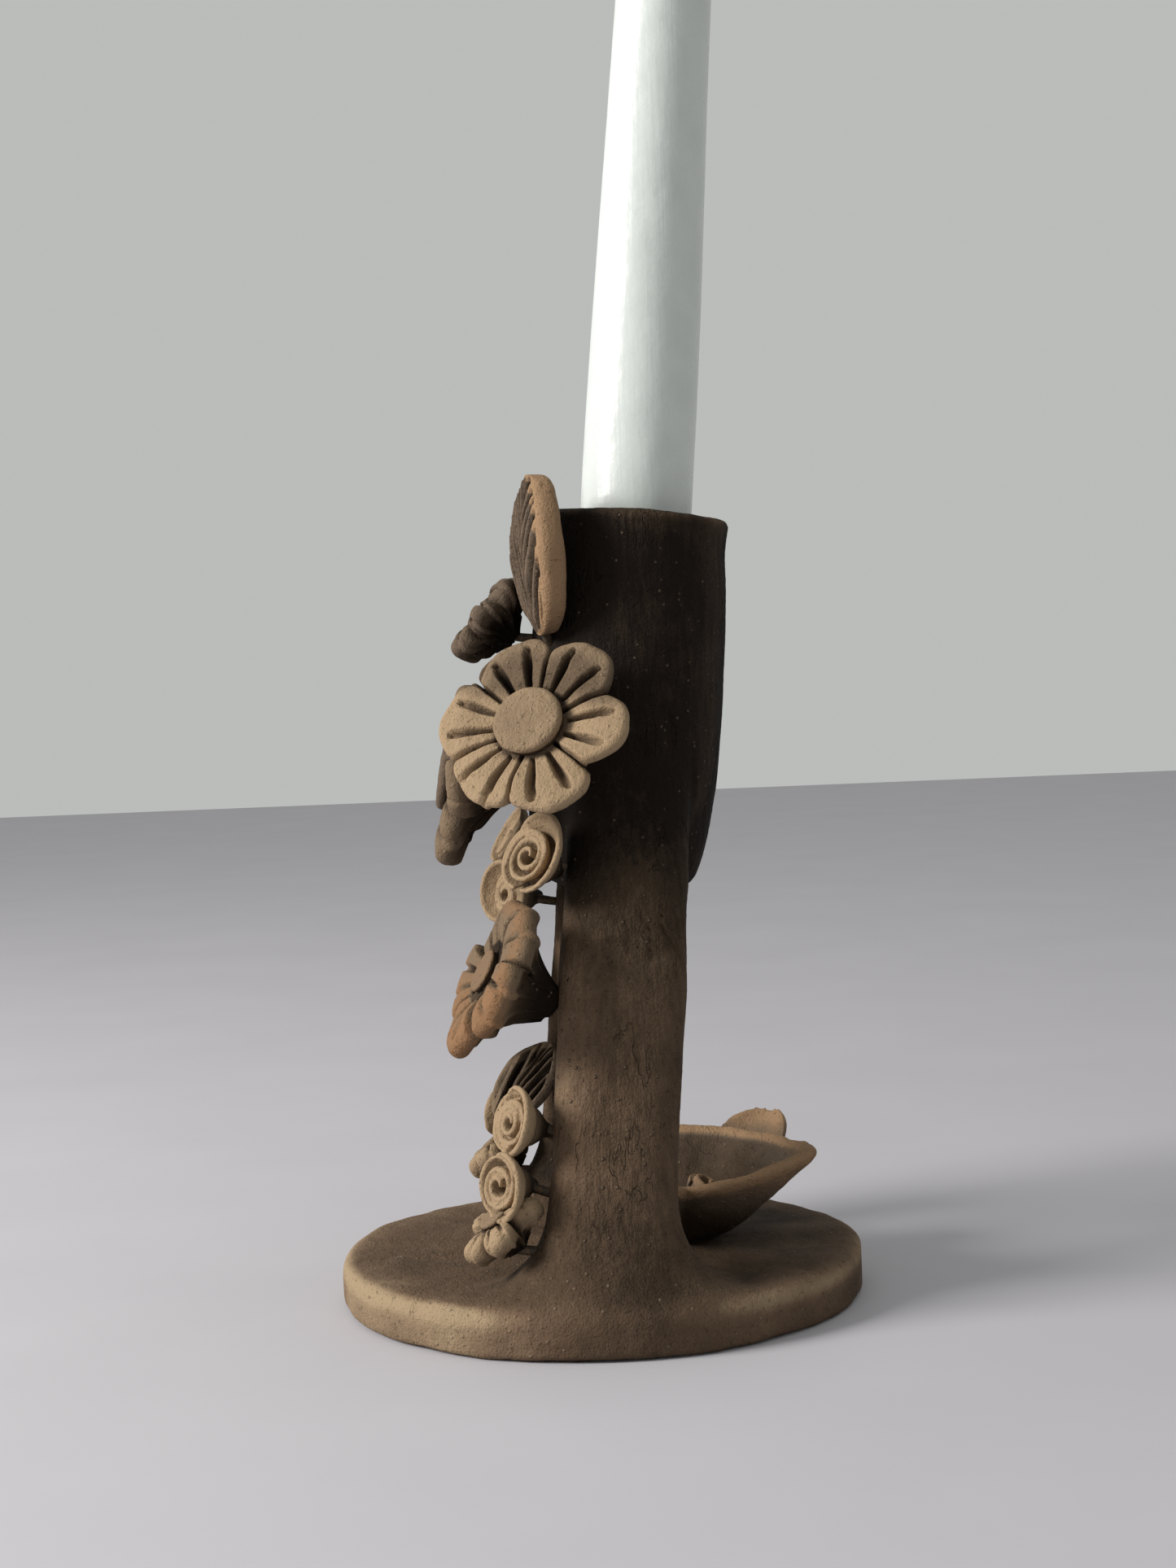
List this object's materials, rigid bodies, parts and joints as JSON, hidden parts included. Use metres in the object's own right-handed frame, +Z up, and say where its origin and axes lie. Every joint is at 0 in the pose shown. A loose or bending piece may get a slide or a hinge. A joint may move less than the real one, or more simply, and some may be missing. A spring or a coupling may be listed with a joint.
{
  "type": "tree of life candle holder",
  "caption": "Smoke-fired clay tree of life: a round base, two legs leaning together into a candle socket, flowers and leaves on wires, and a taper candle.",
  "frame": {"origin": "middle of the base's underside", "axes": "+Z up, -Y is the flowered front, +X is the side of the right leg"},
  "size_m": [0.104, 0.104, 0.3852],
  "materials": {
    "base_clay": "unglazed smoke-fired clay, brown with a paler worn rim",
    "smoked_clay": "unglazed clay blackened by smoke, brushed upwards",
    "buff_clay": "unglazed buff clay, lightly smoked in the hollows",
    "orange_clay": "unglazed orange-tan clay, dark behind",
    "grey_clay": "unglazed grey-brown smoked clay",
    "tan_clay": "unglazed tan clay with browner hollows",
    "wire": "fired, oxidised wire",
    "wax": "glossy white candle wax",
    "cotton": "waxed cotton"
  },
  "bodies": {
    "holder": {"base_disc": "base_clay", "right_leg": "smoked_clay", "left_leg": "smoked_clay", "candle_socket": "smoked_clay", "lily_cup": "tan_clay", "lily_bud": "tan_clay", "daisy_right_petals": "buff_clay", "daisy_right_button": "buff_clay", "daisy_right_wire": "wire", "daisy_left_petals": "buff_clay", "daisy_left_button": "buff_clay", "daisy_left_wire": "wire", "centre_flower_petals": "grey_clay", "centre_flower_button": "grey_clay", "centre_flower_wire": "wire", "crown_flower_petals": "grey_clay", "crown_flower_button": "grey_clay", "crown_flower_wire": "wire", "bellflower_right_petals": "orange_clay", "bellflower_right_button": "orange_clay", "bellflower_right_wire": "wire", "bellflower_left_petals": "orange_clay", "bellflower_left_button": "orange_clay", "bellflower_left_wire": "wire", "foot_flower_right_petals": "buff_clay", "foot_flower_right_button": "buff_clay", "foot_flower_right_wire": "wire", "foot_flower_left_petals": "buff_clay", "foot_flower_left_button": "buff_clay", "foot_flower_left_wire": "wire", "rose_right_top_bloom": "buff_clay", "rose_right_top_wire": "wire", "rose_right_low_bloom": "buff_clay", "rose_right_low_wire": "wire", "rose_right_foot_bloom": "buff_clay", "rose_right_foot_wire": "wire", "rose_left_top_bloom": "buff_clay", "rose_left_top_wire": "wire", "rose_left_middle_bloom": "buff_clay", "rose_left_middle_wire": "wire", "rose_left_foot_bloom": "buff_clay", "rose_left_foot_wire": "wire", "leaf_right_blade": "tan_clay", "leaf_right_wire": "wire", "leaf_left_blade": "tan_clay", "leaf_left_wire": "wire", "low_leaf_left_blade": "grey_clay", "low_leaf_left_wire": "wire"},
    "candle": {"candle": "wax", "wick": "cotton"}
  },
  "joints": [
    {"name": "candle_lift", "type": "slide", "parent": "holder", "child": "candle", "axis": [0, 0.0906, 0.9959], "range_m": [0, 0.06]}
  ]
}
